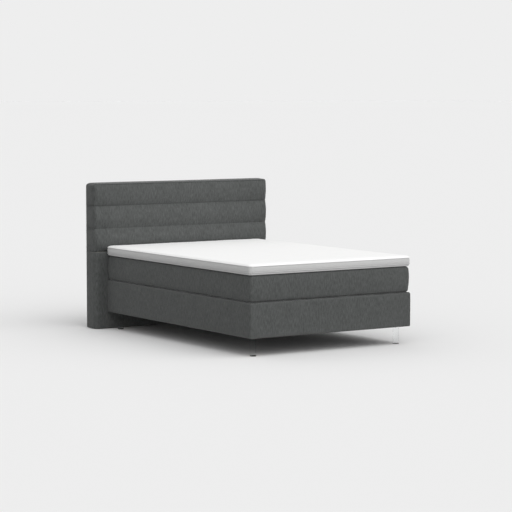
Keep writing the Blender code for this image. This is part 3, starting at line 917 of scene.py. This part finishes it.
def zinc_plate():
    """Zinc plated steel, a little dull and streaked."""
    colour = (0.55, 0.55, 0.53)
    dye = Dye("zinc_plate", colour, Metallic=1.0)
    streak = dye.noise(dye.place(stretch=(900, 900, 90)), detail=2.0)
    spots = dye.noise(dye.place(stretch=(150, 150, 150)), detail=3.0)
    tone = dye.tint(spots, shade(colour, 0.8), shade(colour, 1.1))
    return dye.finish(tone, streak * 0.25 + 0.25, streak, 0.00005, 0.3)


# Assembly

fabric = grey_weave()
knit = white_knit("smooth_knit", (0.95, 0.95, 0.945))
# The same white knit, darkened to paint the shade on the border, on the strip under it and on the lower piping.
painted_shade_knit = white_knit("painted_shade_knit", (0.575, 0.575, 0.572))
black_lining = lining("black_lining", (0.017, 0.017, 0.018))
plastic = moulded_plastic()
acrylic = clear_acrylic()
foam = open_foam()
pockets = spring_pockets()
zinc = zinc_plate()
pine = [sawn_wood("pine_" + way, (0.62, 0.43, 0.25), axis)
        for axis, way in enumerate(("across", "along", "up"))]
plywood = sawn_wood("plywood", (0.52, 0.36, 0.21), 0, 60.0)

# The finish of each CAD node that stays, by a part of its name.
node_materials = (
    (("base_board_left", "base_board_right", "base_beam"), pine[1]),
    (("base_board_head", "base_board_foot", "base_slat_", "headboard_rail_"), pine[0]),
    (("headboard_post_", "base_block_"), pine[2]),
    (("headboard_panel",), plywood),
    (("_springs",), pockets),
    (("_foam",), foam),
    (("bolt_",), zinc),
    (("glide_",), plastic),
    (("leg_foot", "leg_head"), acrylic),
)
for name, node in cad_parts.items():
    for marks, material in node_materials:
        if any(mark in name for mark in marks):
            node.data.materials.clear()
            node.data.materials.append(material)
            break

make_headboard(fabric)
make_base_cover(fabric)
make_mattress(fabric)
# The border, the rolled strip and the lower piping take the white knit darkened as painted shade.
make_topper(knit, painted_shade_knit)
fill_out()
make_border(painted_shade_knit)
make_pipings((knit, painted_shade_knit))
for piece, material, slot, body, nodes, fill in padded_pieces:
    dress(piece, body, material, slot, *nodes)

make_cloth("back_lining", "headboard_back_cloth", "bed_frame", black_lining, "black_cloth", 1,
           staples=zinc)
make_cloth("dust_lining", "base_dust_cover", "bed_frame", black_lining, "black_cloth", -1, over=0.004,
           sag=0.0012, staples=zinc)
make_cloth("platform_cloth", "base_top_cloth", "bed_frame", black_lining, "black_cloth", 1, over=0.004)
make_cloth("mattress_underside", "mattress_base_cloth", "mattress", fabric, "grey_fabric", -1, over=0.003)
make_cloth("topper_underside", "topper_base_cloth", "topper", knit, "white_knit", -1, over=0.002)


# Floor, light and camera

camera_lens = 137.09
camera_place = (-8.033, -12.3875, 1.8335)
camera_tilt = 85.245
camera_turn = -33.171
floor_reach = 400
studio_grey = 0.855
floor_bounce = 0.42
# Each soft light of the studio: where it comes from, how narrow it is, and its strength.
studio_lights = (
    ((1, 0, 0), 1, 0.334),
    ((-1, 0, 0), 1, 0.36),
    ((0, -1, 0), 1, 1.377),
    ((-1, 0, 1), 4, 0.277),
    ((0, 1, 1), 4, 0.833),
    ((0.7, -0.7, 1), 8, 0.802),
    ((0, -0.55, 1), 16, 1.843),
)


def seen_directly(nodes):
    """Say where a ray comes from the camera, or from a gloss or a glass."""
    rays = nodes.node('LightPath', {}, {}, 'Is Camera Ray')
    outputs = rays.socket.node.outputs
    for kind in ('Is Glossy Ray', 'Is Transmission Ray'):
        rays = rays.worked('MAXIMUM', Level(nodes, outputs[kind]))
    return rays


def make_floor():
    """Lay the studio floor, which keeps its grey but throws little light back up."""
    shape = bmesh.new()
    bmesh.ops.create_grid(shape, x_segments=1, y_segments=1, size=floor_reach)
    floor = to_object(shape, "studio_floor")
    dye = Dye("studio_floor", (studio_grey,) * 3, Roughness=1.0, Specular_IOR_Level=0.0)
    floor.data.materials.append(dye.finish(seen_directly(dye) * (studio_grey - floor_bounce) + floor_bounce))


def make_light():
    """Light the studio softly from all its lights, and show its backdrop as plain grey."""
    world = bpy.data.worlds.new("studio")
    bpy.context.scene.world = world
    world.use_nodes = True
    nodes = Nodes(world.node_tree)
    across, along, up = nodes.parts(nodes.node('TexCoord', {}, {}, 'Generated'))
    strength = 0.0
    for way, narrow, level in studio_lights:
        x, y, z = Vector(way).normalized()
        facing = (across * x + along * y + up * z).worked('MAXIMUM', 0.0)
        strength = facing ** narrow * level + strength
    glow = nodes.node('Background', {}, {'Color': (1, 1, 1, 1), 'Strength': strength})
    shown = nodes.node('Background', {}, {'Color': (studio_grey,) * 3 + (1,)})
    mixed = nodes.node('MixShader', {}, {0: seen_directly(nodes), 1: glow, 2: shown})
    nodes.feed(world.node_tree.nodes["World Output"].inputs['Surface'], mixed)


def make_camera():
    """Stand the camera where the reference was seen from."""
    data = bpy.data.cameras.new("camera")
    data.lens = camera_lens
    data.sensor_width = 36.0
    data.clip_end = floor_reach + 100
    camera = bpy.data.objects.new("camera", data)
    bpy.context.scene.collection.objects.link(camera)
    camera.location = camera_place
    camera.rotation_euler = (math.radians(camera_tilt), 0, math.radians(camera_turn))
    bpy.context.scene.camera = camera


make_floor()
make_light()
make_camera()
bpy.context.scene.view_settings.view_transform = 'Standard'
